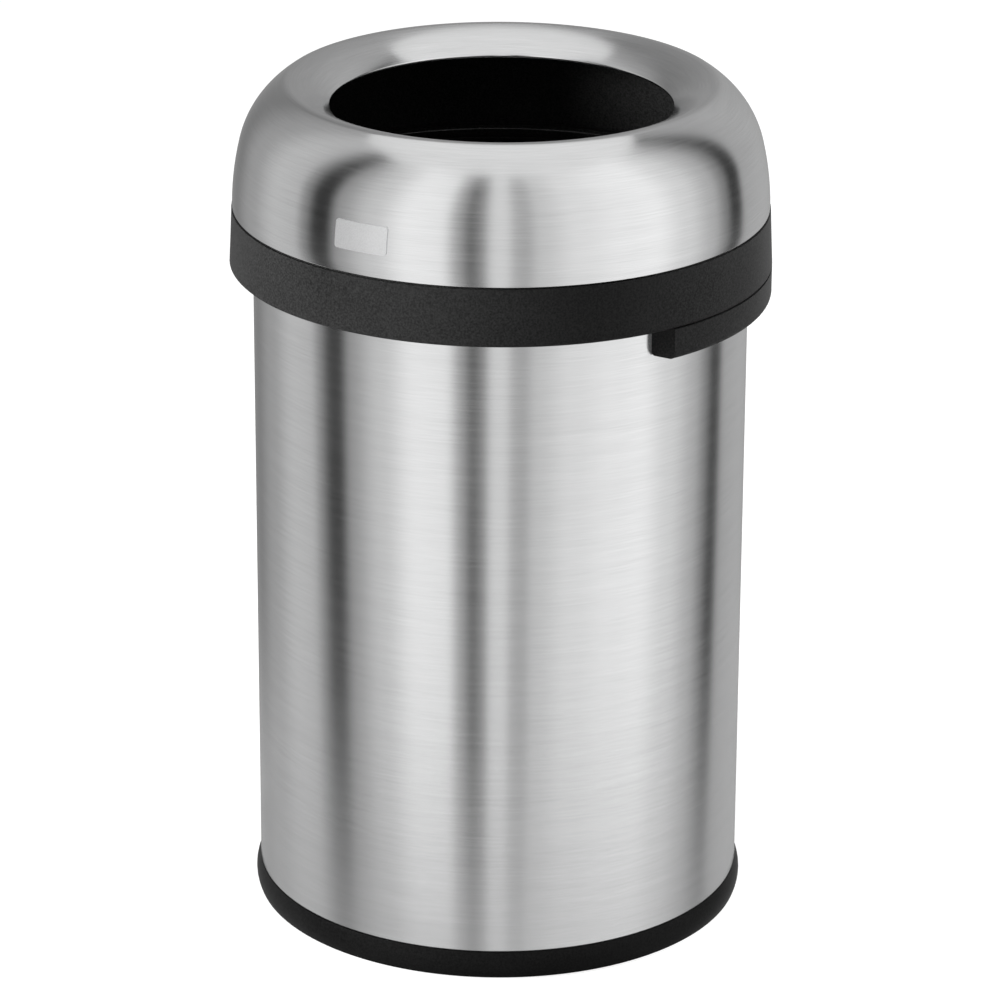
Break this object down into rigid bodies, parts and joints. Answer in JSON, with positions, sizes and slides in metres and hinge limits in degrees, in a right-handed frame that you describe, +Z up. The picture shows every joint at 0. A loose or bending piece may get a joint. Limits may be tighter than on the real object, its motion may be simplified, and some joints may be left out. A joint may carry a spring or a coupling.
{
  "type": "open-top trash can",
  "caption": "Tall round steel bin with a domed open-top lid that tips up on a rear hinge, a dark collar and base ring, and a lift-out bag ring.",
  "frame": {"origin": "centre of the footprint at floor level", "axes": "+Z up, -Y to the front where the badge plate is, +Y to the rear where the lid hinge is"},
  "size_m": [0.44, 0.4399, 0.6998],
  "materials": {
    "body_steel": "fine brushing around the body",
    "dome_steel": "fine brushing around the dome",
    "badge_steel": "satin plate, bare",
    "collar_plastic": "fine moulded texture, satin black",
    "shroud_plastic": "fine moulded texture, satin black",
    "base_plastic": "satin black",
    "inner_plastic": "matt black",
    "foot_rubber": "matt black rubber",
    "pan_steel": "plain zinc-coated sheet",
    "fastener_steel": "plain zinc-coated steel"
  },
  "bodies": {
    "bin": {"body_shell": "body_steel", "body_rim": "inner_plastic", "rim_rivets": "fastener_steel", "rear_shroud": "shroud_plastic", "shroud_screws": "fastener_steel", "hinge_pin": "fastener_steel", "hinge_caps": "shroud_plastic", "hinge_washers": "inner_plastic", "floor_pan": "pan_steel", "base_ring": "base_plastic", "base_screws": "fastener_steel", "base_nuts": "fastener_steel", "base_feet": "foot_rubber"},
    "lid": {"dome_shell": "dome_steel", "dome_liner": "inner_plastic", "lid_collar": "collar_plastic", "lid_inner_ring": "inner_plastic", "lid_screws": "fastener_steel", "lid_bumpers": "foot_rubber", "badge_plate": "badge_steel"},
    "bag_holder": {"bag_ring": "inner_plastic"}
  },
  "joints": [
    {"name": "lid_hinge", "type": "hinge", "parent": "bin", "child": "lid", "pos_m": [0, 0.209, 0.557], "axis": [-1, 0, 0], "range_deg": [0, 95]},
    {"name": "bag_ring_lift", "type": "slide", "parent": "bin", "child": "bag_holder", "axis": [0, 0, 1], "range_m": [0, 0.025]}
  ]
}
